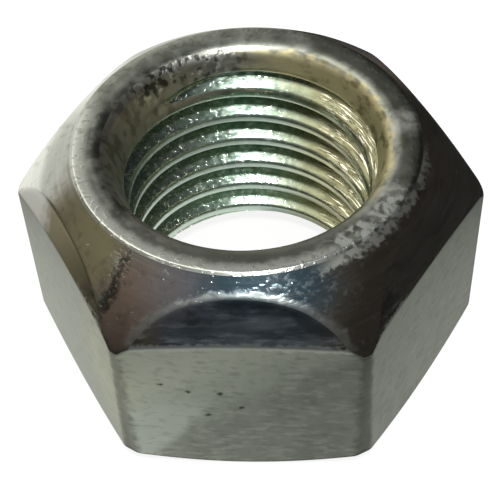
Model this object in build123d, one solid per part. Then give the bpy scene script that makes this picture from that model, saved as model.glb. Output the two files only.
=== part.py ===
from build123d import *
import math
import os

# A plain hexagon nut of zinc-plated steel, forged in one piece and tapped right through.
# It stands on its seat face with the crown upwards. Two opposite corners lie on the X axis,
# and two opposite flats face along the Y axis. All sizes are in millimetres and degrees.

# Hexagon
across_flats = 29.4
height = 18.0
corner_cut_at_seat = 0.35
corner_cut_at_crown = 0.15

# Slanted facet above each flat
facet_depth = 4.65
facet_tilt = 19.0

# Thread, right-handed. The diameter is at the bottom of the groove, and the crest's width
# sets the hole that is drilled before tapping.
thread_diameter = 20.0
thread_pitch = 2.5
thread_angle = 60.0
thread_root_width = 0.31
thread_crest_width = 0.87
thread_start_height = 0.17

# Crown, turned to part of a ball, with a flat ring round its countersink
crown_ball_radius = 20.0
crown_ring_width = 1.7
crown_edge_bevel = 0.25
crown_countersink_margin = 0.6
crown_countersink_depth = 1.6
crown_lip_bevel = 0.25

# Seat, the bearing end
seat_chamfer_inset = 0.5
seat_chamfer_angle = 25.0
seat_countersink_margin = 0.4
seat_countersink_depth = 1.2

# How far inside the wall of the hole the groove's cutter starts
cutter_inset = 0.4


def hexagon_bar():
    """Six upright flats with a slanted facet above each, meeting in a straight crease."""
    outline = RegularPolygon(radius=across_flats / 2, side_count=6, major_radius=False)
    crease_height = height - facet_depth
    lower = extrude(outline, crease_height)
    upper = extrude(Pos(0, 0, crease_height) * outline, facet_depth, taper=facet_tilt)
    return lower + upper


def hole_radius():
    """Radius of the drilled hole, where the flanks of two grooves leave the crest its width."""
    flank_height = (thread_pitch - thread_root_width - thread_crest_width) / 2
    return thread_diameter / 2 - flank_height / math.tan(math.radians(thread_angle / 2))


def turned_ring():
    """The round form of both ends, with the cut corners and the drilled, countersunk hole."""
    corner_radius = across_flats / 2 / math.cos(math.radians(30))
    seat_radius = across_flats / 2 - seat_chamfer_inset
    seat_corner_radius = corner_radius - corner_cut_at_seat
    seat_chamfer_rise = (seat_corner_radius - seat_radius) * math.tan(math.radians(seat_chamfer_angle))
    lip_radius = thread_diameter / 2 + crown_countersink_margin
    ring_radius = lip_radius + crown_ring_width
    ball_centre = height - math.sqrt(crown_ball_radius**2 - ring_radius**2)
    crown_corner_radius = corner_radius - corner_cut_at_crown
    crown_corner_height = ball_centre + math.sqrt(crown_ball_radius**2 - crown_corner_radius**2)

    seat_mouth = (thread_diameter / 2 + seat_countersink_margin, 0)
    hole_bottom = (hole_radius(), seat_countersink_depth)
    hole_top = (hole_radius(), height - crown_countersink_depth)
    lip = (lip_radius, height)
    crown_edge = (ring_radius, height)
    crown_corner = (crown_corner_radius, crown_corner_height)
    seat_corner = (seat_corner_radius, seat_chamfer_rise)
    seat_edge = (seat_radius, 0)
    section = make_face(
        [
            Line(seat_mouth, hole_bottom),
            Line(hole_bottom, hole_top),
            Line(hole_top, lip),
            Line(lip, crown_edge),
            RadiusArc(crown_edge, crown_corner, crown_ball_radius),
            Line(crown_corner, seat_corner),
            Line(seat_corner, seat_edge),
            Line(seat_edge, seat_mouth),
        ]
    )
    section = bevel_corner(section, lip, crown_lip_bevel)
    section = bevel_corner(section, crown_edge, crown_edge_bevel)
    return revolve(Plane.XZ * section, Axis.Z)


def bevel_corner(section, corner, length):
    """Breaks the one sharp corner of a flat section that lies at the given point."""
    point = Vector(*corner)
    nearest = min(section.vertices(), key=lambda vertex: (vertex.center() - point).length)
    return chamfer(nearest, length)


def groove_turn():
    """One turn of the tapped groove, from inside the hole out to its narrow flat bottom."""
    mouth_radius = hole_radius() - cutter_inset
    bottom_radius = thread_diameter / 2
    flank_height = (bottom_radius - mouth_radius) * math.tan(math.radians(thread_angle / 2))
    bottom_half = thread_root_width / 2
    mouth_half = bottom_half + flank_height
    outline = Polyline(
        (mouth_radius, -mouth_half),
        (bottom_radius, -bottom_half),
        (bottom_radius, bottom_half),
        (mouth_radius, mouth_half),
        close=True,
    )
    path = Helix(pitch=thread_pitch, height=thread_pitch, radius=mouth_radius)
    return sweep(Plane.XZ * make_face(outline), path=path, is_frenet=True)


def tapped(body):
    """Cuts the right-hand thread, turn after turn, from below the seat to above the crown."""
    turn = groove_turn()
    start = thread_start_height - thread_pitch
    turns = math.ceil((height - start) / thread_pitch)
    for count in range(turns):
        body = body - Pos(0, 0, start + count * thread_pitch) * turn
    return body


nut = tapped(hexagon_bar() & turned_ring())
os.makedirs("parts", exist_ok=True)
export_step(nut, "parts/hex_nut.step")
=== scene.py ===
import logging
import math
from abc import ABC, abstractmethod
from collections.abc import Callable
from dataclasses import dataclass, field
from enum import Enum

import bmesh
import bpy
import numpy as np
from mathutils import Matrix, Vector


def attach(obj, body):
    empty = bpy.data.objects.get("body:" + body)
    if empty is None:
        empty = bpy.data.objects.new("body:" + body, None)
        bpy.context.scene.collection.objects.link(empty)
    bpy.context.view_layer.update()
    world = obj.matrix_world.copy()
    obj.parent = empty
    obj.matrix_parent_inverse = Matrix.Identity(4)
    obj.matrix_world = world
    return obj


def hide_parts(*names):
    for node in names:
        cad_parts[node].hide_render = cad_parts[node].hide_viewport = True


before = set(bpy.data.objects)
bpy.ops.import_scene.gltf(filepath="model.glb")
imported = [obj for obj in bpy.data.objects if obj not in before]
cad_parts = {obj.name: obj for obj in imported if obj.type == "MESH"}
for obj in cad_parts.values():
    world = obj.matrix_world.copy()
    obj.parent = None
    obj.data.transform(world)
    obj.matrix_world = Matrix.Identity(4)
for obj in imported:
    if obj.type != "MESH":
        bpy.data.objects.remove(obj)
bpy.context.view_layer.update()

Tree = bpy.types.NodeTree
Socket = bpy.types.NodeSocket
Light = Socket | tuple[float, float, float]

MM = 0.001
# Points that lie closer together than this are merged.
WELD = 0.002 * MM
# Radius at which a turned grain has its true length along the turn.
GRAIN_RADIUS = 12 * MM
# Range of the noise that most of a finish's ground falls into.
GROUND_LOW, GROUND_HIGH = 0.35, 0.65
# Halvings after which a search is far finer than the mesh.
HALVINGS = 40
log = logging.getLogger("hex_nut")


class Zone(Enum):
    """Parts of the nut's skin that were finished in different ways. The value is the material's place."""

    FLAT = 0
    FACET = 1
    CROWN = 2
    RING = 3
    COUNTERSINK = 4
    THREAD = 5


class Side(Enum):
    """Surfaces that bound the forging."""

    FLAT = "flat"
    FACET = "facet"
    BALL = "ball"
    CORNER = "corner"
    CHAMFER = "chamfer"


class Worn(Enum):
    """Edges that wear shows on. The value names the mesh's attribute with the gap to the edge."""

    ARC = "arc_gap"
    CORNER = "corner_gap"
    CHAMFER = "chamfer_gap"
    CREASE = "crease_gap"


# Small helpers


def linear(code: str) -> tuple[float, float, float, float]:
    """Turns an sRGB hex colour into the linear colour that a shader socket takes.

    Args:
        code: Six hex digits after a hash sign.

    Returns:
        Linear red, green and blue with an alpha of one.
    """
    channels = [int(code[start:start + 2], 16) / 255 for start in (1, 3, 5)]
    shades = [c / 12.92 if c <= 0.04045 else ((c + 0.055) / 1.055) ** 2.4 for c in channels]
    return (*shades, 1.0)


def per_mm(size: float) -> float:
    """Scale of a pattern whose grains are the given number of millimetres apart."""
    return 1 / (size * MM)


def in_metres(place: tuple[float, float, float]) -> tuple[float, float, float]:
    """Place in metres of a place in millimetres."""
    return tuple(axis * MM for axis in place)


def direction(azimuth: float, elevation: float) -> Vector:
    """Unit vector towards a compass angle in the XY plane and a height angle, both in degrees.

    Args:
        azimuth: Degrees from +X towards +Y.
        elevation: Degrees above the floor.

    Returns:
        The unit vector.
    """
    turn, rise = math.radians(azimuth), math.radians(elevation)
    return Vector((math.cos(turn) * math.cos(rise), math.sin(turn) * math.cos(rise), math.sin(rise)))


def add(tree: Tree, kind: str, inputs: dict[int | str, object] | None = None, **settings: object) -> bpy.types.Node:
    """Adds one shader node with its settings, values and links.

    Args:
        tree: The node tree that gets the node.
        kind: The node's type, without its ShaderNode prefix.
        inputs: Socket name or number, with the value it takes or the output it is linked to.
        settings: Properties of the node.

    Returns:
        The new node.
    """
    node = tree.nodes.new("ShaderNode" + kind)
    for name, value in settings.items():
        setattr(node, name, value)
    for key, value in (inputs or {}).items():
        if isinstance(value, Socket):
            tree.links.new(value, node.inputs[key])
        else:
            node.inputs[key].default_value = value
    return node


def soft_max(first: np.ndarray, second: np.ndarray, width: float | np.ndarray) -> np.ndarray:
    """Larger of two distances, with the edge where they meet worn round.

    Args:
        first: Distance outside the first surface.
        second: Distance outside the second surface.
        width: How far apart the two distances are where the rounding ends.

    Returns:
        The rounded larger distance.
    """
    near = np.clip(1 - np.abs(first - second) / width, 0, None)
    return np.maximum(first, second) + near**2 * width / 4


def halved(low: np.ndarray, high: np.ndarray, too_low: Callable[[np.ndarray], np.ndarray]) -> np.ndarray:
    """Finds the values at which a test changes, by halving the range that each lies in.

    Args:
        low: Lower end of each range.
        high: Upper end of each range.
        too_low: Test that says which of some values lie too low.

    Returns:
        The values.
    """
    for _ in range(HALVINGS):
        middle = (low + high) / 2
        short = too_low(middle)
        low, high = np.where(short, middle, low), np.where(short, high, middle)
    return (low + high) / 2


def round_corner(bm: bmesh.types.BMesh, corner: tuple[float, float], reach: float, segments: int) -> None:
    """Rounds one corner of a section that is drawn as a wire in the XZ plane.

    Args:
        bm: The bmesh that holds the wire.
        corner: Radius and height of the corner, in millimetres.
        reach: How far the rounding reaches along both runs, in millimetres.
        segments: Number of edges in the rounding.
    """
    aim = Vector((corner[0], 0, corner[1])) * MM
    point = min(bm.verts, key=lambda vert: (vert.co - aim).length)
    bmesh.ops.bevel(
        bm, geom=[point], offset=reach * MM, offset_type="OFFSET", segments=segments,
        profile=0.5, affect="VERTICES", material=-1,
    )


def turn_section(bm: bmesh.types.BMesh, columns: int, sixths: int, rise: float) -> None:
    """Spins the section in a bmesh through a sixth of a turn, and repeats that sixth round the axis.

    Args:
        bm: The bmesh that holds nothing but the section.
        columns: Steps in a whole turn.
        sixths: Number of sixths of a turn.
        rise: How far a whole turn climbs, in millimetres.
    """
    bmesh.ops.spin(
        bm, geom=bm.verts[:] + bm.edges[:], cent=(0, 0, 0), axis=(0, 0, 1), dvec=(0, 0, rise / columns * MM),
        angle=math.tau / 6, steps=columns // 6,
    )
    bmesh.ops.spin(
        bm, geom=bm.verts[:] + bm.edges[:] + bm.faces[:], cent=(0, 0, 0), axis=(0, 0, 1),
        dvec=(0, 0, rise / 6 * MM), angle=math.tau / 6 * (sixths - 1), steps=sixths - 1, use_duplicate=True,
    )
    bmesh.ops.remove_doubles(bm, verts=bm.verts[:], dist=WELD)


# The nut's shape


@dataclass
class ForgedBody:
    """The turned and forged outside of the nut: seat, flats, facets, crown and ring. Millimetres and degrees."""

    # Hexagon, with a facet above each flat. The crease between them bows up on each side by its own amount.
    across_flats: float = 29.4
    height: float = 18.0
    crease_height: float = 13.35
    crease_bows: tuple[float, ...] = (0.35, 0.35, 0.35, 1.25, 0.35, 0.35)
    crease_bow_reach: float = 27.8
    facet_tilt: float = 24.0
    corner_radius_seat: float = 16.62
    corner_radius_crown: float = 16.82

    # Crown, part of a ball, with a shoulder that falls away from the flat ring on top.
    ball_radius: float = 20.0
    ball_rim: float = 12.3
    ring_radius: float = 12.05
    ring_round: float = 0.66
    shoulder_fall: float = 37.6
    turned_shift: tuple[float, float] = (-0.06, 0.24)

    # Rounded lip and the upper countersink, which joins the thread's wall.
    lip_start: float = 10.92
    lip_round: float = 1.35
    lip_fall: float = 68.0
    lip_bevel_share: float = 0.98
    crown_sink_join: float = 17.74

    # Seat with its chamfer and the lower countersink, which joins the thread's wall.
    seat_radius: float = 14.2
    seat_edge_round: float = 0.07
    seat_chamfer_angle: float = 25.0
    seat_mouth_radius: float = 10.4
    seat_mouth_round: float = 0.15
    seat_hole_radius: float = 8.857
    seat_sink_depth: float = 1.2
    seat_sink_join: float = 0.2

    # How wide wear has rounded each edge.
    worn_crease: float = 0.05
    worn_corner: float = 0.09
    worn_chamfer: float = 0.12
    worn_arc: float = 0.1
    worn_rim: float = 0.1

    # Columns of the mesh, crowded towards the corners, and its rows from edge to edge.
    columns: int = 324
    crowding: float = 0.7
    row_ends: tuple[float, ...] = (0.03, 1.1, 13.35, 15.89, 17.74)
    row_cuts: tuple[int, ...] = (6, 25, 14, 19)
    seat_cuts: int = 8
    least_facet: float = 0.06
    half_way: float = 8.0
    search_slack: float = 1.0

    # How far the ring's finish reaches down, and how far inside the lip the countersink's begins.
    ring_zone: float = 0.2
    lip_zone: float = 0.7

    def crown_cone(self, z: float | np.ndarray) -> np.ndarray:
        """Radius of the crown's countersink at a height: a rounded lip that runs into a cone.

        Args:
            z: Heights.

        Returns:
            The radius at each height.
        """
        depth, fall = self.height - z, math.radians(self.lip_fall)
        bend = np.arccos(np.clip(1 - depth / self.lip_round, math.cos(fall), 1))
        cone = np.clip(depth - self.lip_round * (1 - math.cos(fall)), 0, None) / math.tan(fall)
        return self.lip_start - self.lip_round * np.sin(bend) - cone

    def seat_cone(self, z: float | np.ndarray) -> float | np.ndarray:
        """Radius of the seat's countersink at a height."""
        slope = (self.seat_mouth_radius - self.seat_hole_radius) / self.seat_sink_depth
        return self.seat_mouth_radius - z * slope

    def ball_centre(self) -> float:
        """Height of the centre of the ball that the crown is part of."""
        return self.height - math.sqrt(self.ball_radius**2 - self.ball_rim**2)

    def turn_from_flat(self, theta: np.ndarray) -> np.ndarray:
        """Angle from the middle of the nearest flat, in radians."""
        return np.abs((theta + math.pi / 3) % (math.pi / 3) - math.pi / 6)

    def crease(self, theta: np.ndarray) -> np.ndarray:
        """Height of the crease between flat and facet.

        Args:
            theta: Angle round the axis, in radians.

        Returns:
            The height in each direction.
        """
        bow = np.array(self.crease_bows)[np.floor(theta / (math.pi / 3)).astype(int) % 6]
        bend = (np.tan(self.turn_from_flat(theta)) / math.tan(math.radians(self.crease_bow_reach)))**2
        return self.crease_height + bow * np.clip(1 - bend, 0, 1)

    def corner_radius(self, z: np.ndarray) -> np.ndarray:
        """Radius of the cut corners at a height. They widen a little from the seat to the crease."""
        widening = self.corner_radius_crown - self.corner_radius_seat
        return self.corner_radius_seat + widening * np.clip(z / self.crease_height, 0, 1)

    def side_radius(self, theta: np.ndarray, z: np.ndarray) -> np.ndarray:
        """Radius of the flats, facets and cut corners, before wear.

        Args:
            theta: Angle round the axis, in radians.
            z: Height in each direction.

        Returns:
            The radius in each direction.
        """
        slant = np.clip(z - self.crease(theta), 0, None) * math.tan(math.radians(self.facet_tilt))
        return np.minimum((self.across_flats / 2 - slant) / np.cos(self.turn_from_flat(theta)), self.corner_radius(z))

    def turned_blank(self, bm: bmesh.types.BMesh) -> None:
        """Spins the section of the blank, before its flats and facets are pressed.

        Args:
            bm: The bmesh that gets the blank. It is empty.
        """
        slope = math.tan(math.radians(self.shoulder_fall))
        arc_height = self.row_ends[3]
        join = float(self.crown_cone(self.crown_sink_join))
        bend = math.acos(1 - (self.height - self.crown_sink_join) / self.lip_round)
        lip = self.lip_start - self.lip_round * math.tan(bend / 2)
        corners = (
            (float(self.seat_cone(self.seat_sink_join)), self.seat_sink_join),
            (self.seat_mouth_radius, 0.0),
            (self.seat_radius, 0.0),
            (self.corner_radius_seat, self.row_ends[1]),
            (self.corner_radius_seat, self.row_ends[2]),
            (self.ring_radius + (self.height - arc_height) / slope, arc_height),
            (self.ring_radius, self.height),
            (lip, self.height),
            (join, self.crown_sink_join),
        )
        points = [bm.verts.new((radius * MM, 0, z * MM)) for radius, z in corners]
        runs = [bm.edges.new(pair) for pair in zip(points, points[1:])]
        for run, cuts in zip(runs[2:6], self.row_cuts):
            bmesh.ops.subdivide_edges(bm, edges=[run], cuts=cuts)
        bmesh.ops.subdivide_edges(bm, edges=[runs[1]], cuts=self.seat_cuts)
        # Each rounding's corner, reach and number of edges.
        for corner, reach, segments in (
            (corners[1], self.seat_mouth_round, 4),
            (corners[2], self.seat_edge_round, 3),
            (corners[6], self.ring_round, 9),
            (corners[7], self.lip_bevel_share * (self.lip_start - lip), 8),
        ):
            round_corner(bm, corner, reach, segments)
        turn_section(bm, self.columns, 6, 0.0)

    def sort_faces(self, bm: bmesh.types.BMesh) -> None:
        """Gives each face of the blank the material of its zone.

        Args:
            bm: The bmesh that holds the blank.
        """
        _, chamfer_top, crease, arc, _ = self.row_ends
        for face in bm.faces:
            middle = face.calc_center_median() / MM
            radius = math.hypot(middle.x, middle.y)
            if radius < self.lip_start - self.lip_zone:
                zone = Zone.COUNTERSINK
            elif radius < self.seat_radius and middle.z < chamfer_top or middle.z > self.height - self.ring_zone:
                zone = Zone.RING
            elif middle.z > arc:
                zone = Zone.CROWN
            elif middle.z > crease:
                zone = Zone.FACET
            else:
                zone = Zone.FLAT
            face.material_index = zone.value

    def surfaces(self, r: np.ndarray, theta: np.ndarray, z: np.ndarray) -> dict[Side, np.ndarray]:
        """How far points lie outside each surface that bounds the forging.

        Args:
            r: Distance of each point from the axis.
            theta: Angle of each point round the axis, in radians.
            z: Height of each point.

        Returns:
            One array of distances for each surface.
        """
        turned_r = np.hypot(r * np.cos(theta) - self.turned_shift[0], r * np.sin(theta) - self.turned_shift[1])
        fall, tilt, rise = map(math.radians, (self.shoulder_fall, self.facet_tilt, self.seat_chamfer_angle))
        flat = r * np.cos(self.turn_from_flat(theta)) - self.across_flats / 2
        ball = np.hypot(turned_r, z - self.ball_centre()) - self.ball_radius
        shoulder = (turned_r - self.ring_radius) * math.sin(fall) + (z - self.height) * math.cos(fall)
        return {
            Side.FLAT: flat,
            Side.FACET: flat * math.cos(tilt) + (z - self.crease(theta)) * math.sin(tilt),
            Side.BALL: soft_max(ball, shoulder, self.worn_rim),
            Side.CORNER: r - self.corner_radius(z),
            Side.CHAMFER: (r - self.seat_radius) * math.sin(rise) - z * math.cos(rise),
        }

    def outside(self, r: np.ndarray, theta: np.ndarray, z: np.ndarray) -> np.ndarray:
        """Distance of points outside the forging, with its edges worn round.

        Args:
            r: Distance of each point from the axis.
            theta: Angle of each point round the axis, in radians.
            z: Height of each point.

        Returns:
            The distances, which are negative inside.
        """
        parts = self.surfaces(r, theta, z)
        sides = soft_max(parts[Side.FLAT], parts[Side.FACET], self.worn_crease)
        sides = soft_max(sides, parts[Side.CORNER], self.worn_corner)
        sides = soft_max(sides, parts[Side.CHAMFER], self.worn_chamfer)
        return soft_max(sides, parts[Side.BALL], self.worn_arc)

    def meeting_height(self, theta: np.ndarray, other: Side) -> np.ndarray:
        """Height where the upright sides meet the ball above them or the chamfer below them.

        Args:
            theta: Angle round the axis, in radians.
            other: The surface that the sides meet, ball or chamfer.

        Returns:
            The height in each direction.
        """
        above = other is Side.BALL
        low, high = (self.half_way, self.height) if above else (0.0, self.half_way)
        return halved(
            np.full_like(theta, low), np.full_like(theta, high),
            lambda z: (self.surfaces(self.side_radius(theta, z), theta, z)[other] > 0) != above,
        )

    def press(self, bm: bmesh.types.BMesh) -> None:
        """Presses the flats, facets and chamfer into the blank, with rows that follow each edge.

        Args:
            bm: The bmesh that holds the blank.
        """
        place = np.array([vert.co for vert in bm.verts]) / MM
        r, theta, z = np.hypot(place[:, 0], place[:, 1]), np.arctan2(place[:, 1], place[:, 0]), place[:, 2]
        arc, rim = self.row_ends[3:]
        pressed = (z < rim - 0.001) & (r > self.ring_radius) & (z > self.row_ends[0] + 0.01)

        # The columns crowd towards the corners, and run out evenly to the ring and to the seat's mouth.
        crown_share = np.clip((z - arc) / (rim - arc), 0, 1)
        seat_share = np.clip((r - self.seat_mouth_radius) / (self.seat_radius - self.seat_mouth_radius), 0, 1)
        hold = np.where(pressed, 1 - crown_share, np.where(z < self.half_way, seat_share, 0))
        theta = theta - hold * self.crowding / 6 * np.sin(6 * theta)

        # The rows move to where the edges lie in each column.
        top = self.meeting_height(theta, Side.BALL)
        ends = (
            np.full_like(z, self.row_ends[0]),
            self.meeting_height(theta, Side.CHAMFER),
            np.minimum(self.crease(theta), top - self.least_facet),
            top,
            np.full_like(z, rim),
        )
        new_z = z.copy()
        for count, (start, end) in enumerate(zip(self.row_ends, self.row_ends[1:])):
            eased = 0.5 - 0.5 * np.cos(math.pi * np.clip((z - start) / (end - start), 0, 1))
            inside = pressed & (z > start) & (z <= end + 1e-4)
            new_z = np.where(inside, ends[count] + (ends[count + 1] - ends[count]) * eased, new_z)

        # The points move in or out to the forging's skin.
        skin = halved(
            np.full_like(r, self.ring_radius - self.search_slack),
            np.full_like(r, self.corner_radius_crown + self.search_slack),
            lambda radius: self.outside(radius, theta, new_z) < 0,
        )
        r = np.where(pressed, skin, r)
        shifted = ~pressed & (z >= arc)
        x = r * np.cos(theta) + self.turned_shift[0] * shifted
        y = r * np.sin(theta) + self.turned_shift[1] * shifted

        parts = self.surfaces(r, theta, new_z)
        sides = np.maximum(parts[Side.FLAT], parts[Side.FACET])
        gaps = (
            (Worn.ARC, parts[Side.BALL] - sides),
            (Worn.CORNER, parts[Side.CORNER] - sides),
            (Worn.CHAMFER, parts[Side.CHAMFER] - sides),
            (Worn.CREASE, parts[Side.FACET] - parts[Side.FLAT]),
        )
        layers = [(bm.verts.layers.float.new(worn.value), gap) for worn, gap in gaps]
        for index, vert in enumerate(bm.verts):
            vert.co = (x[index] * MM, y[index] * MM, new_z[index] * MM)
            for layer, gap in layers:
                vert[layer] = gap[index]

    def build(self, bm: bmesh.types.BMesh) -> None:
        """Makes the whole outside.

        Args:
            bm: The bmesh that gets it. It is empty.
        """
        self.turned_blank(bm)
        self.sort_faces(bm)
        self.press(bm)


@dataclass
class TappedHole:
    """The hole with its right-handed thread, running out into both countersinks. Millimetres."""

    body: ForgedBody

    # Thread's section: a narrow flat at the bottom of the groove and a worn crest between two grooves.
    root_radius: float = 10.0
    crest_radius: float = 8.65
    pitch: float = 2.5
    root_width: float = 0.31
    crest_width: float = 0.631
    start_height: float = 0.17
    flank_cuts: int = 4
    worn_root: float = 0.08
    worn_crest: float = 0.2

    # How wide the thread's edge is worn where it runs out, and how that narrows next to the joins.
    worn_runout: float = 0.5
    runout_fade: float = 0.7
    runout_least: float = 0.2

    # Height from which the groove grows shallow, lower at the left, and over what height it does.
    shallow_from: float = 15.7
    shallow_left: float = 1.1
    shallow_rise: float = 0.9

    # Height from which the wall leans over to the crown's axis.
    lean_from: float = 14.6

    def groove_pitch(self, bm: bmesh.types.BMesh) -> None:
        """Draws one pitch of the thread's section, from groove to groove, with its worn crest.

        Args:
            bm: The bmesh that gets the wire.
        """
        flank = (self.pitch - self.root_width - self.crest_width) / 2
        heights = (0.0, self.root_width / 2, self.root_width / 2 + flank)
        below = list(zip((self.root_radius, self.root_radius, self.crest_radius), heights))
        above = [(radius, self.pitch - height) for radius, height in reversed(below)]
        low = self.start_height - self.pitch
        corners = [(radius, low + z) for radius, z in below + above]
        points = [bm.verts.new((radius * MM, 0, z * MM)) for radius, z in corners]
        runs = [bm.edges.new(pair) for pair in zip(points, points[1:])]
        bmesh.ops.subdivide_edges(bm, edges=[runs[1], runs[3]], cuts=self.flank_cuts)
        bmesh.ops.subdivide_edges(bm, edges=[runs[2]], cuts=1)
        # Each rounding's corner, reach and number of edges.
        for corner, reach, segments in (
            (corners[1], self.worn_root, 2),
            (corners[2], self.worn_crest, 4),
            (corners[3], self.worn_crest, 4),
            (corners[4], self.worn_root, 2),
        ):
            round_corner(bm, corner, reach, segments)

    def build(self, bm: bmesh.types.BMesh) -> None:
        """Spins the thread up the hole, runs it out into the countersinks and trims its ends.

        Args:
            bm: The bmesh that gets the thread. It is empty.
        """
        body = self.body
        low, high = body.seat_sink_join, body.crown_sink_join
        self.groove_pitch(bm)
        turns = math.ceil((high - self.start_height) / self.pitch) + 1
        turn_section(bm, body.columns, 6 * turns, self.pitch)
        wall = bm.verts[:]
        place = np.array([vert.co for vert in wall]) / MM
        column = math.tau / body.columns
        theta = np.round(np.arctan2(place[:, 1], place[:, 0]) / column) * column
        tapped, z = np.hypot(place[:, 0], place[:, 1]), place[:, 2]

        # The tap's last turns cut shallow.
        shallow = self.shallow_from - self.shallow_left * np.clip(-np.cos(theta), 0, 1)**2
        tapped -= (tapped - self.crest_radius) * np.clip((z - shallow) / self.shallow_rise, 0, 1)

        # The countersinks take over where they are wider than the thread.
        crown, seat = body.crown_cone(z), body.seat_cone(z)
        run_out = dict(zip(wall, np.maximum(crown, seat) > tapped))
        r = soft_max(tapped, crown, self.worn_runout * np.clip((high - z) / self.runout_fade, self.runout_least, 1))
        r = soft_max(r, seat, self.worn_runout * np.clip((z - low) / self.runout_fade, self.runout_least, 1))
        r = np.where(z >= high, body.crown_cone(high), np.where(z <= low, body.seat_cone(low), r))
        z = np.clip(z, low, high)

        # The wall meets the crown, which was turned off the thread's axis.
        lean = np.clip((z - self.lean_from) / (high - self.lean_from), 0, 1)
        x = r * np.cos(theta) + lean * body.turned_shift[0]
        y = r * np.sin(theta) + lean * body.turned_shift[1]
        for index, vert in enumerate(wall):
            vert.co = (x[index] * MM, y[index] * MM, z[index] * MM)
        for face in bm.faces:
            sunk = sum(run_out[vert] for vert in face.verts) > 2
            face.material_index = (Zone.COUNTERSINK if sunk else Zone.THREAD).value
        bmesh.ops.remove_doubles(bm, verts=bm.verts[:], dist=WELD)


# The nut's finishes


@dataclass(frozen=True)
class Skin:
    """What a finish has painted so far: sockets of the colour, the roughness and the height in metres."""

    colour: Socket
    roughness: Socket
    height: Socket


@dataclass(frozen=True)
class Grain:
    """A pattern of grains, even, drawn out in one direction, or turned round the axis. Millimetres.

    In a turned grain the first stretch is along the turn, and `turned` is the slope of the skin's profile.
    """

    size: float
    stretch: tuple[float, float, float] = (1.0, 1.0, 1.0)
    detail: float = 3.0
    turned: float = 0.0

    def pattern(self, tree: Tree, place: Socket) -> Socket:
        """Adds the pattern's noise.

        Args:
            tree: The material's nodes.
            place: Place on the nut.

        Returns:
            The noise, from 0 to 1.
        """
        if self.turned:
            flat = add(tree, "VectorMath", {0: place, 1: (1, 1, 0)}, operation="MULTIPLY").outputs[0]
            reach = add(tree, "VectorMath", {0: flat}, operation="LENGTH").outputs["Value"]
            unit = add(tree, "VectorMath", {0: flat}, operation="NORMALIZE").outputs[0]
            around = add(tree, "VectorMath", {0: unit, 3: GRAIN_RADIUS / self.stretch[0]}, operation="SCALE").outputs[0]
            slope = (0, 0, self.turned)
            climb = add(tree, "VectorMath", {0: place, 1: slope}, operation="DOT_PRODUCT").outputs["Value"]
            profile = add(tree, "Math", {0: reach, 1: climb}, operation="ADD").outputs[0]
            inputs = {0: profile, 1: (0, 0, 1), 2: around}
            place = add(tree, "VectorMath", inputs, operation="MULTIPLY_ADD").outputs[0]
        elif self.stretch != (1.0, 1.0, 1.0):
            place = add(tree, "VectorMath", {0: place, 1: self.stretch}, operation="DIVIDE").outputs[0]
        inputs = {"Vector": place, "Scale": per_mm(self.size), "Detail": self.detail}
        return add(tree, "TexNoise", inputs).outputs["Fac"]


@dataclass(frozen=True)
class Mask(ABC):
    """Where a layer lies. Its border wanders by `ragged` in steps of `ragged_size`. Millimetres."""

    ragged: float = field(default=0.0, kw_only=True)
    ragged_size: float = field(default=0.7, kw_only=True)

    def border_noise(self, tree: Tree, place: Socket) -> bpy.types.Node:
        """Adds the noise that a border follows."""
        return add(tree, "TexNoise", {"Vector": place, "Scale": per_mm(self.ragged_size), "Detail": 4.0})

    def wander(self, tree: Tree, place: Socket) -> Socket:
        """Moves the place about, so that a border comes out ragged.

        Args:
            tree: The material's nodes.
            place: Place on the nut.

        Returns:
            The place, moved by noise.
        """
        if not self.ragged:
            return place
        noise = self.border_noise(tree, place).outputs["Color"]
        swing = add(tree, "VectorMath", {0: noise, 1: (0.5, 0.5, 0.5)}, operation="SUBTRACT").outputs[0]
        swing = add(tree, "VectorMath", {0: swing, 3: self.ragged * 4 * MM}, operation="SCALE").outputs[0]
        return add(tree, "VectorMath", {0: place, 1: swing}, operation="ADD").outputs[0]

    def between(self, tree: Tree, value: Socket, start: float, end: float, soft: float) -> Socket:
        """Adds a band of a value, with soft borders.

        Args:
            tree: The material's nodes.
            value: The value.
            start: Lower border of the band.
            end: Upper border of the band.
            soft: How far outside its borders the band has faded out.

        Returns:
            How much the band covers, from 0 to 1.
        """
        rise, fall = {0: value, 1: start - soft, 2: start}, {0: value, 1: end, 2: end + soft, 3: 1.0, 4: 0.0}
        begin = add(tree, "MapRange", rise, interpolation_type="SMOOTHSTEP").outputs[0]
        finish = add(tree, "MapRange", fall, interpolation_type="SMOOTHSTEP").outputs[0]
        return add(tree, "Math", {0: begin, 1: finish}, operation="MULTIPLY").outputs[0]

    @abstractmethod
    def cover(self, tree: Tree, place: Socket) -> Socket:
        """Adds the mask's nodes.

        Args:
            tree: The material's nodes.
            place: Place on the nut.

        Returns:
            How much the mask covers, from 0 to 1.
        """


@dataclass(frozen=True)
class Speckle(Mask):
    """Grains whose noise lies above a threshold."""

    grain: Grain
    low: float
    high: float

    def cover(self, tree: Tree, place: Socket) -> Socket:
        """Covers the grains that stand out of the noise."""
        inputs = {0: self.grain.pattern(tree, place), 1: self.low, 2: self.high}
        return add(tree, "MapRange", inputs, interpolation_type="SMOOTHSTEP").outputs[0]


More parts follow.
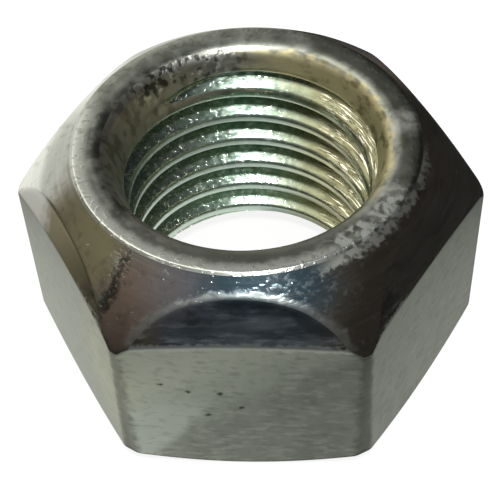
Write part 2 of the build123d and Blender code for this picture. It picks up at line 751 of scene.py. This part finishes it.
@dataclass(frozen=True)
class Spots(Mask):
    """Round or drawn-out spots about one or more places."""

    centres: tuple[tuple[float, float, float], ...]
    size: tuple[float, float, float]
    soft: float = 0.3

    def cover(self, tree: Tree, place: Socket) -> Socket:
        """Covers every place that is near one of the centres.

        Args:
            tree: The material's nodes.
            place: Place on the nut.

        Returns:
            How much the spots cover, from 0 to 1.
        """
        place = add(tree, "VectorMath", {0: self.wander(tree, place), 1: self.size}, operation="DIVIDE").outputs[0]
        nearest: Socket | None = None
        for centre in self.centres:
            middle = tuple(axis / size * MM for axis, size in zip(centre, self.size))
            away = add(tree, "VectorMath", {0: place, 1: middle}, operation="DISTANCE").outputs["Value"]
            if nearest is not None:
                away = add(tree, "Math", {0: nearest, 1: away}, operation="MINIMUM").outputs[0]
            nearest = away
        inputs = {0: nearest, 1: (1 - self.soft) * MM, 2: (1 + self.soft) * MM, 3: 1.0, 4: 0.0}
        return add(tree, "MapRange", inputs, interpolation_type="SMOOTHSTEP").outputs[0]


@dataclass(frozen=True)
class Fade(Mask):
    """A cover that comes in along one direction."""

    towards: tuple[float, float, float]
    start: float
    end: float

    def cover(self, tree: Tree, place: Socket) -> Socket:
        """Covers what lies beyond the start, fully from the end on.

        Args:
            tree: The material's nodes.
            place: Place on the nut.

        Returns:
            How much the fade covers, from 0 to 1.
        """
        inputs = {0: self.wander(tree, place), 1: self.towards}
        along = add(tree, "VectorMath", inputs, operation="DOT_PRODUCT").outputs["Value"]
        inputs = {0: along, 1: self.start * MM, 2: self.end * MM}
        return add(tree, "MapRange", inputs, interpolation_type="SMOOTHSTEP").outputs[0]


@dataclass(frozen=True)
class Hoop(Mask):
    """A band round the axis, between two radii."""

    inner: float
    outer: float
    soft: float

    def cover(self, tree: Tree, place: Socket) -> Socket:
        """Covers what lies between the two radii.

        Args:
            tree: The material's nodes.
            place: Place on the nut.

        Returns:
            How much the hoop covers, from 0 to 1.
        """
        flat = add(tree, "VectorMath", {0: self.wander(tree, place), 1: (1, 1, 0)}, operation="MULTIPLY").outputs[0]
        reach = add(tree, "VectorMath", {0: flat}, operation="LENGTH").outputs["Value"]
        return self.between(tree, reach, *in_metres((self.inner, self.outer, self.soft)))


@dataclass(frozen=True)
class Edge(Mask):
    """A band along one of the nut's edges, by the gap that the mesh carries for it."""

    worn: Worn
    start: float
    end: float
    soft: float

    def cover(self, tree: Tree, place: Socket) -> Socket:
        """Covers the band, with its borders ragged by noise.

        Args:
            tree: The material's nodes.
            place: Place on the nut.

        Returns:
            How much the band covers, from 0 to 1.
        """
        gap = add(tree, "Attribute", attribute_name=self.worn.value, attribute_type="GEOMETRY").outputs["Fac"]
        noise = self.border_noise(tree, place).outputs["Fac"]
        inputs = {0: noise, 1: self.ragged * 4, 2: -self.ragged * 2}
        swing = add(tree, "Math", inputs, operation="MULTIPLY_ADD").outputs[0]
        gap = add(tree, "Math", {0: gap, 1: swing}, operation="ADD").outputs[0]
        return self.between(tree, gap, self.start, self.end, self.soft)


@dataclass(frozen=True)
class Layer:
    """A stain, a coating, a worn place, or painted light or shade. It lies where all its masks do. The height is in
    millimetres.
    """

    colour: str
    strength: float
    masks: tuple[Mask, ...]
    roughness: float | None = None
    height: float = 0.0

    def lay(self, tree: Tree, place: Socket, skin: Skin) -> Skin:
        """Lays the layer over a skin.

        Args:
            tree: The material's nodes.
            place: Place on the nut.
            skin: The skin so far.

        Returns:
            The skin with the layer on it.
        """
        cover: Socket | float = 1.0
        for mask in self.masks:
            cover = add(tree, "Math", {0: mask.cover(tree, place), 1: cover}, operation="MULTIPLY").outputs[0]
        share = add(tree, "Math", {0: cover, 1: self.strength}, operation="MULTIPLY").outputs[0]
        colour = add(tree, "Mix", {0: share, 6: skin.colour, 7: linear(self.colour)}, data_type="RGBA").outputs[2]
        roughness, height = skin.roughness, skin.height
        if self.roughness is not None:
            roughness = add(tree, "Mix", {0: share, 2: skin.roughness, 3: self.roughness}).outputs[0]
        if self.height:
            inputs = {0: cover, 1: self.height * MM, 2: skin.height}
            height = add(tree, "Math", inputs, operation="MULTIPLY_ADD").outputs[0]
        return Skin(colour, roughness, height)


@dataclass(frozen=True)
class Finish:
    """A finish of zinc-plated steel: a mottled ground with uneven polish, and the layers on it. Millimetres."""

    name: str
    light: str
    dark: str
    roughness: tuple[float, float]
    grain: Grain
    depth: float
    layers: tuple[Layer, ...] = ()

    def material(self) -> bpy.types.Material:
        """Makes the material.

        Returns:
            A metal with the ground's colour, polish and relief, under the finish's layers.
        """
        made = bpy.data.materials.new(self.name)
        made.use_nodes = True
        tree = made.node_tree
        tree.nodes.clear()
        place = add(tree, "TexCoord").outputs["Object"]
        noise = self.grain.pattern(tree, place)
        inputs = {0: noise, 1: GROUND_LOW, 2: GROUND_HIGH}
        share = add(tree, "MapRange", inputs).outputs[0]
        ground = add(tree, "Mix", {0: share, 6: linear(self.dark), 7: linear(self.light)}, data_type="RGBA").outputs[2]
        polish = add(tree, "MapRange", inputs | {3: self.roughness[0], 4: self.roughness[1]}).outputs[0]
        height = add(tree, "Math", {0: noise, 1: self.depth * MM}, operation="MULTIPLY").outputs[0]
        skin = Skin(ground, polish, height)
        for layer in self.layers:
            skin = layer.lay(tree, place, skin)
        relief = add(tree, "Bump", {"Height": skin.height, "Strength": 1.0, "Distance": 1.0})
        metal = add(tree, "BsdfPrincipled", {
            "Base Color": skin.colour, "Roughness": skin.roughness, "Metallic": 1.0, "Normal": relief.outputs[0],
        })
        add(tree, "OutputMaterial", {"Surface": metal.outputs[0]})
        return made


LEFT, RIGHT = (-1, 0, 0), (1, 0, 0)
# Radius that lies inside every wall, where a hoop needs no inner border.
WITHIN = 8.0
# The front of the crown and facets, the front flat alone, the lens above it, and the rim at the right front.
FRONT = Fade((0, -1, 0), 9.5, 11.5, ragged=0.5)
FRONT_FLAT = Fade((0, -1, 0), 14.3, 14.6)
FRONT_LENS = Spots(((0.0, -13.8, 15.0),), (8.4, 3.0, 4.0), 0.12)
RIGHT_FRONT = Fade((0.84, -0.54, 0), 9.8, 11.4)
# The thread's crests, and the nicked places in the countersink at the back left.
CRESTS = Hoop(WITHIN, 8.67, 0.14, ragged=0.04)
NICKED = ((-7.4, 7.2, 17.3), (-4.0, 9.6, 17.1))
# The dark ridge down the corner at the left front, and the five specks on the front flat.
RIDGE = (
    (-7.6, -10.3, 17.6), (-7.9, -10.9, 17.0), (-8.15, -11.3, 16.4), (-8.4, -11.7, 15.9), (-8.6, -12.0, 15.5),
    (-8.9, -12.2, 15.0), (-9.3, -12.4, 14.4),
)
SPECKS = ((-5.5, -14.7, 9.6), (-3.7, -14.7, 8.8), (-1.5, -14.7, 8.6), (-0.1, -14.7, 7.0), (-2.5, -14.7, 6.1))

# Stains of the chromate bath and of handling. They run over the crown and the facets alike.
STAINS = (
    # Whitish film at the far left, where the crown looks chalky.
    Layer("#e2e6e0", 0.6, (Fade((-0.93, 0.36, 0), 9.9, 11.8, ragged=0.6),), 0.26),
    # Olive-gold at the left.
    Layer("#dcd6aa", 0.85, (
        Spots(((-10.8, -8.2, 16.4), (-11.6, -9.0, 14.6)), (3.6, 3.9, 3.6), 0.35, ragged=0.35, ragged_size=1.6),
    ), 0.18),
    # Grey-brown smudge between the whitish film and the olive.
    Layer("#847e70", 0.6, (Spots(((-11.9, -5.2, 17.2),), (1.3, 1.5, 1.4), 0.6, ragged=0.4, ragged_size=1.0),), 0.3),
    # Brown bloom right of the dark ridge.
    Layer("#b39a88", 0.8, (
        Spots(((-7.0, -12.6, 16.0), (-7.4, -13.8, 14.4)), (2.3, 2.6, 2.2), 0.5, ragged=0.3, ragged_size=1.0),
    ), 0.22),
    # Purple-grey, then blue, towards the middle of the front.
    Layer("#a09a9e", 0.75, (Spots(((-3.9, -12.6, 16.9),), (2.3, 2.0, 2.0), 0.6, ragged=0.3, ragged_size=0.9),), 0.22),
    Layer("#6c8e9c", 0.85, (
        Spots(((0.4, -12.6, 17.4), (4.2, -12.4, 17.2)), (2.9, 1.8, 1.8), 0.6, ragged=0.35, ragged_size=0.8),
    ), 0.12),
    # Dark ragged ridge at the corner between olive and brown.
    Layer("#262b26", 0.9, (Spots(RIDGE, (0.46, 0.5, 0.5), 0.6, ragged=0.42, ragged_size=0.5),), 0.45, -0.02),
    Layer("#8c9084", 0.7, (
        Spots(
            ((-8.3, -10.5, 17.3), (-8.9, -11.4, 16.1), (-9.5, -11.9, 14.9)), (0.3, 0.6, 0.6), 0.7, ragged=0.4,
            ragged_size=0.4,
        ),
    ), 0.4, 0.01),
    # Brown-black tarnish over the right.
    Layer("#a89c84", 0.75, (Fade((0.94, -0.2, 0), 6.5, 9.5, ragged=0.6),), 0.18),
    Layer("#e6e0d2", 0.22, (
        Speckle(Grain(0.26, (10, 1, 1), 4.0, -1.0), 0.5, 0.72), Fade((0.8, -0.6, 0), 8.0, 11.0, ragged=0.4),
    ), 0.24, 0.001),
    Layer("#34302a", 0.4, (
        Speckle(Grain(0.9, (3, 1, 1), 5.0, -1.0), 0.5, 0.66), Fade((0.9, -0.2, 0), 8.0, 11.0, ragged=0.4),
    ), 0.3),
)

# On the rounded lip and in the countersink: golden and light at the right, partly the bath's stain and partly a painted
# reflection, dull grey in front and chalky at the left.
LIP_STAINS_AND_REFLECTION = (
    Layer("#e6daa6", 0.85, (Fade((0.85, 0.53, 0), 2.5, 7.5, ragged=0.8), Hoop(WITHIN, 9.9, 0.6, ragged=0.3)), 0.46),
    Layer("#62645c", 0.8, (Fade((0, -1, 0), 5.0, 8.5, ragged=0.5), Hoop(WITHIN, 10.9, 0.4, ragged=0.25)), 0.4),
    Layer("#a8a69a", 0.75, (Fade(LEFT, 1.0, 6.5, ragged=0.6), Hoop(WITHIN, 10.3, 0.5, ragged=0.25)), 0.45),
)

FINISHES: dict[Zone, Finish] = {
    # Pressed by the forging tool and then tumbled: a dull, speckled grey-green that dulls every reflection.
    Zone.FLAT: Finish(
        "forged_flats_tumbled_zinc", "#a0a69b", "#868d82", (0.38, 0.5), Grain(1.6, (1, 1, 1.8), 5.0), 0.003,
        (
            # Painted reflection of a lighter place: lighter towards the front flat's upper left.
            Layer("#c8cebe", 0.7, (Fade((-0.5, 0, 0.87), 6.5, 12.5, ragged=0.8), FRONT_FLAT)),
            # Faint olive on the left flat.
            Layer("#b6b88e", 0.35, (Spots(((-9.8, -13.0, 8.5),), (2.6, 3.6, 5.0), 0.6, ragged=0.5),)),
            # Painted reflection of light and shade: darker towards the front flat's lower right, and a painted patch of
            # light at its lower left.
            Layer("#6c706a", 0.5, (
                Fade((0.62, 0, -0.78), -6.4, -4.6, ragged=0.4, ragged_size=1.5), FRONT_FLAT,
            ), 0.36),
            Layer("#c2cac2", 0.5, (
                Fade((-0.83, 0, 0.55), 5.4, 6.4, ragged=0.3, ragged_size=1.0),
                Fade((0, 0, -1), -9.5, -6.0, ragged=0.5),
                FRONT_FLAT,
            )),
            # Level streaks, light and dark.
            Layer("#bcc0b4", 0.24, (Speckle(Grain(0.34, (3, 3, 1), 5.0), 0.48, 0.68),), 0.5, 0.001),
            Layer("#646860", 0.36, (Speckle(Grain(0.4, (2.6, 2.6, 1), 5.0), 0.5, 0.72),), 0.45, -0.002),
            # Fine pits everywhere, and five deeper ones on the front flat.
            Layer("#484c46", 0.55, (Speckle(Grain(0.45), 0.7, 0.8),), 0.5, -0.008),
            Layer("#343832", 0.85, (Spots(SPECKS, (0.2, 0.3, 0.14), 0.6, ragged=0.12, ragged_size=0.3),), 0.5, -0.03),
            # Rubbed bright under the front crease, darkened along the corners and the seat.
            Layer("#d0d4c6", 0.7, (
                Edge(Worn.CREASE, -0.08, 0.3, 0.1, ragged=0.08, ragged_size=0.5), FRONT_FLAT,
            ), 0.4),
            Layer("#50524a", 0.7, (Edge(Worn.CORNER, 0.12, 5.0, 0.34, ragged=0.14),), 0.35),
            Layer("#484a42", 0.7, (Edge(Worn.CHAMFER, -0.12, 5.0, 0.12, ragged=0.08, ragged_size=0.5),), 0.4),
        ),
    ),
    # Pressed smooth by the heading tool: dark and mirror-like, with fine level streaks.
    Zone.FACET: Finish(
        "headed_facets_smooth_zinc", "#b6c0c4", "#8e9a9e", (0.18, 0.28), Grain(0.9, (5, 5, 1), 5.0), 0.002,
        STAINS + (
            # Olive-brown on the left facet, chalky at the far left.
            Layer("#968e6e", 0.85, (Fade((-0.87, -0.5, 0), 11.0, 13.0, ragged=0.6),), 0.26),
            Layer("#f4f6f0", 0.9, (Fade((-0.9, 0.44, 0), 9.4, 11.4, ragged=0.5),), 0.3),
            # Light streaks low on the front facet, and finer ones all over it.
            Layer("#f0f4f4", 0.55, (
                Speckle(Grain(0.26, (7, 7, 1), 5.0), 0.5, 0.66), Fade((0, 0, -1), -15.0, -13.8, ragged=0.3), FRONT,
            ), 0.34, 0.003),
            Layer("#e0e8e8", 0.4, (Speckle(Grain(0.34, (4.5, 4.5, 1), 6.0), 0.5, 0.7), FRONT), 0.34, 0.002),
            # Dark blotches under the arc, and the rubbed crease.
            Layer("#4c4a48", 0.6, (
                Speckle(Grain(1.3, (1.6, 1.6, 1), 5.0), 0.46, 0.62),
                Edge(Worn.ARC, -0.45, 1.0, 0.3, ragged=0.15),
                FRONT,
            ), 0.25),
            Layer("#d0d4ca", 0.75, (Edge(Worn.CREASE, -1.0, 0.06, 0.06, ragged=0.08, ragged_size=0.5), FRONT), 0.42),
        ),
    ),
    # Turned to part of a ball and plated bright: it mirrors the room, with fine turning lines and stains.
    Zone.CROWN: Finish(
        "turned_crown_bright_zinc", "#c2c2b8", "#a4a49c", (0.1, 0.16), Grain(0.3, (12, 1, 1), 5.0, -1.0), 0.002,
        STAINS + (
            # The rubbed line over the front lens, with lighter grains in it.
            Layer("#b4b8b0", 0.6, (
                Edge(Worn.ARC, -0.02, 0.14, 0.2, ragged=0.08, ragged_size=0.6), FRONT_LENS,
            ), 0.38, 0.002),
            Layer("#dfe2dd", 0.4, (
                Speckle(Grain(0.5, (1.4, 1, 1), 5.0), 0.5, 0.7),
                Edge(Worn.ARC, -0.02, 0.12, 0.22, ragged=0.16, ragged_size=0.6),
                FRONT_LENS,
            ), 0.38, 0.003),
            # Light grains across the front, closest in the blue.
            Layer("#c2c8c6", 0.45, (Speckle(Grain(0.42, detail=4.0), 0.6, 0.76), FRONT), 0.34, 0.004),
            Layer("#bcc4c4", 0.32, (
                Speckle(Grain(0.36, (1.4, 1, 1), 6.0), 0.48, 0.62),
                Spots(((2.6, -13.1, 17.0), (5.4, -12.7, 16.7)), (2.4, 1.6, 1.4), 0.5, ragged=0.3),
            ), 0.36, 0.004),
            # A few bright grains and a faint dark mottling all round.
            Layer("#f4f6f2", 0.7, (Speckle(Grain(0.5), 0.69, 0.78),), 0.3, 0.01),
            Layer("#5a5650", 0.35, (Speckle(Grain(0.8, detail=5.0), 0.52, 0.74),), 0.25, -0.001),
            # Rubbed rim at the right front, with dark grains left in it.
            Layer("#d8dad0", 0.85, (Hoop(11.5, 12.45, 0.35, ragged=0.3, ragged_size=0.5), RIGHT_FRONT), 0.4, 0.006),
            Layer("#3c3e38", 0.6, (
                Speckle(Grain(0.5, (1.4, 1, 1), 5.0), 0.5, 0.62), Hoop(11.5, 12.6, 0.4), RIGHT_FRONT,
            ), 0.36),
        ),
    ),
    # Faced flat and worn by handling: a mottled grey with lighter, rubbed places, and a painted highlight along its
    # outer edge at the left front.
    Zone.RING: Finish(
        "faced_ring_rubbed_zinc_painted_highlight", "#b2b5ab", "#868a80", (0.24, 0.34), Grain(1.4, detail=5.0), 0.003,
        LIP_STAINS_AND_REFLECTION + (
            # Tarnish at the right.
            Layer("#4a4c42", 0.7, (
                Fade((0.9, 0.43, 0), 7.0, 10.0, ragged=0.8, ragged_size=1.2), Hoop(11.0, 14.0, 0.4, ragged=0.2),
            ), 0.3),
            # Rubbed places, dark mottling, and dark dabs at the left.
            Layer("#dfe1d8", 0.7, (
                Spots(((10.1, -8.1, 17.9), (11.4, 2.2, 18), (5.6, -11.2, 17.9)), (1.0, 1.2, 1.0), 0.6, ragged=0.3),
            ), 0.4),
            Layer("#6a6e66", 0.6, (Speckle(Grain(0.9, detail=5.0), 0.5, 0.68),), 0.3, -0.002),
            Layer("#4a4e48", 0.75, (
                Spots(
                    ((-10.2, 2.3, 17.85), (-8.3, -6.5, 17.9), (-10.4, -0.4, 17.9)), (0.6, 1.3, 0.6), 0.6, ragged=0.35,
                    ragged_size=0.5,
                ),
            ), 0.35),
            # Rubbed rim at the right front.
            Layer("#d8dcd4", 0.8, (
                Speckle(Grain(0.7, detail=6.0), 0.42, 0.56),
                Spots(((7.8, -8.8, 18), (10.1, -6.0, 18)), (2.0, 2.0, 1.0), 0.5, ragged=0.5),
                Hoop(10.9, 13.0, 0.4, ragged=0.2),
            ), 0.45, 0.004),
            # Painted highlight along the outer edge at the left front, broken by dark grains and by bright grains
            # painted as glints.
            Layer("#e6e9e0", 0.8, (
                Hoop(11.65, 13.0, 0.6, ragged=0.1), Fade((-0.6, -0.8, 0), 2.0, 6.0, ragged=0.4),
            ), 0.2),
            Layer("#8a8c82", 0.4, (
                Speckle(Grain(0.46, (1.2, 1, 1), 4.0), 0.52, 0.66), Hoop(11.5, 13.0, 0.2),
            ), 0.34, 0.01),
            Layer("#f2f4ee", 0.4, (Speckle(Grain(0.3), 0.66, 0.78), Fade((-0.6, -0.8, 0), 0.0, 6.0)), 0.4, 0.003),
        ),
    ),
    # Bored and left as the drill cut it: dull with chatter marks, and golden at the right, partly where the bath pooled
    # and partly as a painted reflection.
    Zone.COUNTERSINK: Finish(
        "bored_countersink_stained_zinc_painted_light", "#b0b2a8", "#8a8c82", (0.28, 0.4), Grain(0.8, (3, 1, 1), 5.0, 1.0), 0.003,
        LIP_STAINS_AND_REFLECTION + (
            # Brown chatter marks at the right, dark blotches at the left.
            Layer("#6e6640", 0.6, (
                Speckle(Grain(0.9, (1.6, 1, 1), 5.0, 1.0), 0.5, 0.66), Fade(RIGHT, 2.0, 6.0),
            ), 0.36, 0.004),
            Layer("#5a564e", 0.6, (
                Speckle(Grain(0.8, (1, 1, 2), 6.0), 0.46, 0.62), Fade(LEFT, 4.0, 7.0),
            ), 0.44, -0.006),
            # Nicks at the back left, painted bright as highlights, with dark dashes between them.
            Layer("#eef0e8", 0.8, (
                Speckle(Grain(0.34, (1.6, 1.6, 2), 4.0), 0.54, 0.66), Spots(NICKED, (3.0, 2.0, 1.2), 0.5),
            ), 0.35, 0.01),
            Layer("#2a2e30", 0.8, (
                Speckle(Grain(0.4, (1.6, 1.6, 2), 4.0), 0.5, 0.6), Spots(NICKED, (3.4, 2.2, 1.4), 0.5),
            ), 0.4, -0.01),
        ),
    ),
    # Tapped and plated: green where the light is thin, darker at the left as painted shade, golden on the right, partly
    # as a painted reflection, with beads and hairlines painted near-white as glints.
    Zone.THREAD: Finish(
        "tapped_thread_beaded_zinc_painted_light", "#b2c8b4", "#96ac9c", (0.14, 0.24), Grain(0.5, detail=4.0), 0.006,
        (
            # Painted shade: duller and darker at the left. Golden at the right, partly the plating's tint and partly a
            # painted reflection, with brown mottling.
            Layer("#86968a", 0.6, (Fade((-1, 0.1, 0), 3.0, 7.0, ragged=0.5),), 0.32),
            Layer("#a8a47c", 0.85, (Fade((0.96, 0.28, 0), 2.0, 8.0, ragged=0.8),), 0.32),
            Layer("#6e6844", 0.55, (
                Speckle(Grain(0.8, (2, 1, 1), 5.0, 0.6), 0.46, 0.62), Fade(RIGHT, 2.0, 6.0),
            ), 0.3, -0.004),
            # Beads of zinc, and hairlines along the turn at the right, both painted near-white as glints and given
            # relief.
            Layer("#ffffff", 0.5, (
                Speckle(Grain(0.36, (1.4, 1, 1), 3.0, 0.5), 0.56, 0.66), Fade(LEFT, -4.0, 0.0),
            ), 0.1, 0.015),
            Layer("#fffbe4", 0.9, (
                Speckle(Grain(0.13, (16, 1, 1), 4.0, 0.4), 0.5, 0.6), Fade((1, 0.1, 0), 5.2, 7.2),
            ), 0.15, 0.022),
            # Rubbed crests, green-grey at the left and golden at the right.
            Layer("#a4b4ac", 0.8, (CRESTS, Fade(LEFT, -6.0, -1.0)), 0.36),
            Layer("#b0b098", 0.6, (CRESTS, Fade(RIGHT, 1.0, 6.0)), 0.36),
        ),
    ),
}


@dataclass
class HexNut:
    """The whole nut: one forging, with its thread and the finish of each zone."""

    body: ForgedBody = field(default_factory=ForgedBody)

    def build(self) -> bpy.types.Object:
        """Makes the nut's object with its mesh and materials.

        Returns:
            The object, linked into the scene.
        """
        mesh = bpy.data.meshes.new("zinc_plated_nut")
        bm = bmesh.new()
        TappedHole(self.body).build(bm)
        bm.to_mesh(mesh)
        bm.clear()
        self.body.build(bm)
        bm.from_mesh(mesh)
        bmesh.ops.remove_doubles(bm, verts=bm.verts[:], dist=WELD)
        bmesh.ops.recalc_face_normals(bm, faces=bm.faces[:])
        for face in bm.faces:
            face.smooth = True
        bm.to_mesh(mesh)
        bm.free()
        for zone in Zone:
            mesh.materials.append(FINISHES[zone].material())
        nut = bpy.data.objects.new("zinc_plated_nut", mesh)
        bpy.context.scene.collection.objects.link(nut)
        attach(nut, "root")
        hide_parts("hex_nut")
        return nut


# The studio


class Glow(ABC):
    """A patch of light that the zinc mirrors. It fades out at its border."""

    colour: str

    @abstractmethod
    def fade(self, tree: Tree, place: Socket) -> Socket:
        """Adds the patch's strength.

        Args:
            tree: The nodes of the world or of the floor.
            place: Direction of the ray, or place on the floor.

        Returns:
            The strength there.
        """

    def shine(self, tree: Tree, place: Socket, under: Light) -> Socket:
        """Adds the patch to the light.

        Args:
            tree: The nodes of the world or of the floor.
            place: Direction of the ray, or place on the floor.
            under: Light so far.

        Returns:
            The light with the patch added.
        """
        inputs = {0: linear(self.colour)[:3], 1: self.fade(tree, place), 2: under}
        return add(tree, "VectorMath", inputs, operation="MULTIPLY_ADD").outputs[0]


@dataclass(frozen=True)
class Softbox(Glow):
    """A soft patch of light, far off in one direction. Degrees."""

    azimuth: float
    elevation: float
    core: float
    reach: float
    colour: str
    strength: float

    def fade(self, tree: Tree, place: Socket) -> Socket:
        """Adds the softbox's strength in each direction.

        Args:
            tree: The nodes of the world or of the floor.
            place: Direction of the ray.

        Returns:
            The strength there.
        """
        towards = tuple(direction(self.azimuth, self.elevation))
        near = add(tree, "VectorMath", {0: place, 1: towards}, operation="DOT_PRODUCT").outputs["Value"]
        border, full = (math.cos(math.radians(angle)) for angle in (self.reach, self.core))
        inputs = {0: near, 1: border, 2: full, 3: 0.0, 4: self.strength}
        return add(tree, "MapRange", inputs, interpolation_type="SMOOTHSTEP").outputs[0]


@dataclass(frozen=True)
class FloorPool(Glow):
    """A pool of light painted into the floor's glow, which only the zinc's reflections see. Millimetres."""

    centre: tuple[float, float, float]
    core: float
    reach: float
    colour: str
    strength: float

    def fade(self, tree: Tree, place: Socket) -> Socket:
        """Adds the pool's strength at each place.

        Args:
            tree: The floor's nodes.
            place: Place on the floor.

        Returns:
            The strength there.
        """
        away = add(tree, "VectorMath", {0: place, 1: in_metres(self.centre)}, operation="DISTANCE").outputs["Value"]
        inputs = {0: away, 1: self.core * MM, 2: self.reach * MM, 3: self.strength, 4: 0.0}
        return add(tree, "MapRange", inputs, interpolation_type="SMOOTHSTEP").outputs[0]


@dataclass
class Studio:
    """Pale floor, soft light and the photograph's camera. Millimetres, degrees, and pixels of the photograph."""

    azimuth: float = 4.606
    elevation: float = 48.063
    roll: float = -3.092
    distance: float = 106.41
    target_height: float = 7.84
    focal_pixels: float = 1422.2
    centre_x: float = 251.67
    centre_y: float = 239.29
    frame_pixels: float = 500.0
    sensor_width: float = 36.0
    clip_start: float = 5.0
    floor_size: float = 6000.0
    floor_glow: float = 0.86
    ambient: float = 0.03
    key_azimuth: float = -82.0
    key_elevation: float = 68.0
    key_distance: float = 400.0
    key_size: float = 50.0
    key_power: float = 1.0
    softboxes: tuple[Softbox, ...] = (
        # Big boxes: the window behind the nut, the light over it, and faint fills all round.
        Softbox(122, 8, 30, 38, "#fffdf5", 0.66),
        Softbox(112, 52, 10, 34, "#fffef8", 0.34),
        Softbox(-100, 50, 14, 56, "#eef6ff", 0.16),
        Softbox(-175, 35, 14, 48, "#fff6e4", 0.14),
        Softbox(-30, 88, 5, 40, "#f4f8ff", 0.1),
        # A chain of small boxes that the crown's rim mirrors as its bright line.
        Softbox(-115, 82, 5, 18, "#ffffff", 0.9),
        Softbox(188, 68, 9, 20, "#fffdf4", 1.1),
        Softbox(165, 53, 10, 21, "#fffdf4", 1.1),
        Softbox(146, 38, 8, 18, "#fffdf4", 0.7),
    )
    # Pools of light painted into the floor's glow, which only the zinc's reflections see.
    pools: tuple[FloorPool, ...] = (
        FloorPool((0, 0, 0), 22, 37, "#fffef8", 0.5),
        FloorPool((-18, -3, 0), 10, 28, "#fffdf6", 0.35),
        FloorPool((-72, 48, 0), 42, 58, "#fffdf6", 0.5),
        FloorPool((-10, -95, 0), 30, 65, "#dcecff", 0.05),
        FloorPool((24, 66, 0), 12, 36, "#ffe6cc", 0.08),
    )

    def camera(self) -> None:
        """Places the camera at the photograph's viewing angle."""
        view = -direction(self.azimuth - 90, self.elevation)
        level = view.cross(Vector((0, 0, 1))).normalized()
        upright = level.cross(view)
        lean = math.radians(self.roll)
        right = level * math.cos(lean) + upright * math.sin(lean)
        up = upright * math.cos(lean) - level * math.sin(lean)
        eye = Vector((0, 0, self.target_height)) - view * self.distance
        lens = bpy.data.cameras.new("photograph")
        lens.sensor_width = self.sensor_width
        lens.lens = self.focal_pixels / self.frame_pixels * self.sensor_width
        lens.shift_x = (self.frame_pixels / 2 - self.centre_x) / self.frame_pixels
        lens.shift_y = (self.centre_y - self.frame_pixels / 2) / self.frame_pixels
        lens.clip_start = self.clip_start * MM
        eyepiece = bpy.data.objects.new("photograph", lens)
        turn = Matrix((right, up, -view)).transposed().to_4x4()
        eyepiece.matrix_world = Matrix.Translation(eye * MM) @ turn
        bpy.context.scene.collection.objects.link(eyepiece)
        bpy.context.scene.camera = eyepiece

    def faint(self, colour: str) -> tuple[float, ...]:
        """The faint light, in one colour, that the zinc mirrors where no patch of light lies."""
        return tuple(channel * self.ambient for channel in linear(colour)[:3])

    def world(self) -> None:
        """Lights the room: plain white for the eye and the floor, soft and graded for the zinc."""
        room = bpy.data.worlds.new("studio")
        room.use_nodes = True
        tree = room.node_tree
        tree.nodes.clear()
        ray = add(tree, "TexCoord").outputs["Generated"]
        ray = add(tree, "VectorMath", {0: ray}, operation="NORMALIZE").outputs[0]
        light: Light = self.faint("#f4f0ff")
        for softbox in self.softboxes:
            light = softbox.shine(tree, ray, light)
        mirrored = add(tree, "LightPath").outputs["Is Glossy Ray"]
        seen = add(tree, "Mix", {0: mirrored, 6: linear("#ffffff"), 7: light}, data_type="RGBA").outputs[2]
        glow = add(tree, "Background", {"Color": seen, "Strength": 1.0})
        add(tree, "OutputWorld", {"Surface": glow.outputs[0]})
        bpy.context.scene.world = room

    def floor_paint(self) -> bpy.types.Material:
        """Makes the floor's paint.

        Returns:
            Matt, nearly white paint with an even glow. To the zinc's reflections it glows instead with painted patches
            and pools of light.
        """
        paint = bpy.data.materials.new("pale_floor_with_painted_glow")
        paint.use_nodes = True
        tree = paint.node_tree
        tree.nodes.clear()
        place = add(tree, "TexCoord").outputs["Object"]
        outward = add(tree, "VectorMath", {0: place}, operation="NORMALIZE").outputs[0]
        light: Light = self.faint("#e8f0ff")
        for softbox in self.softboxes:
            light = softbox.shine(tree, outward, light)
        for pool in self.pools:
            light = pool.shine(tree, place, light)
        pale = add(tree, "BsdfDiffuse", {"Color": linear("#6c6c6a")}).outputs[0]
        glow = add(tree, "Emission", {"Color": linear("#ffffff"), "Strength": self.floor_glow}).outputs[0]
        lit = add(tree, "AddShader", {0: pale, 1: glow}).outputs[0]
        graded = add(tree, "Emission", {"Color": light, "Strength": 1.0}).outputs[0]
        mirrored = add(tree, "LightPath").outputs["Is Glossy Ray"]
        skin = add(tree, "MixShader", {0: mirrored, 1: lit, 2: graded})
        add(tree, "OutputMaterial", {"Surface": skin.outputs[0]})
        return paint

    def floor(self) -> None:
        """Lays the floor."""
        bm = bmesh.new()
        bmesh.ops.create_grid(bm, x_segments=1, y_segments=1, size=self.floor_size / 2 * MM)
        mesh = bpy.data.meshes.new("floor")
        bm.to_mesh(mesh)
        bm.free()
        mesh.materials.append(self.floor_paint())
        floor = bpy.data.objects.new("floor", mesh)
        bpy.context.scene.collection.objects.link(floor)

    def key(self) -> None:
        """Hangs the small soft lamp whose glints run down the thread."""
        lamp = bpy.data.lights.new("key", "AREA")
        lamp.shape = "DISK"
        lamp.size = self.key_size * MM
        lamp.energy = self.key_power
        hung = bpy.data.objects.new("key", lamp)
        towards = direction(self.key_azimuth, self.key_elevation)
        aim = towards.to_track_quat("Z", "Y").to_matrix().to_4x4()
        hung.matrix_world = Matrix.Translation(towards * self.key_distance * MM) @ aim
        bpy.context.scene.collection.objects.link(hung)

    def build(self) -> None:
        """Makes the camera, the light and the floor."""
        self.camera()
        self.world()
        self.floor()
        self.key()
        bpy.context.scene.view_settings.view_transform = "Standard"


def main() -> None:
    """Builds the studio and the nut."""
    logging.basicConfig(level=logging.INFO, format="%(message)s")
    Studio().build()
    log.info("studio: camera, world, floor and key lamp")
    nut = HexNut().build()
    log.info("%s: %d faces, %d materials", nut.name, len(nut.data.polygons), len(nut.data.materials))


if __name__ == "__main__":
    main()
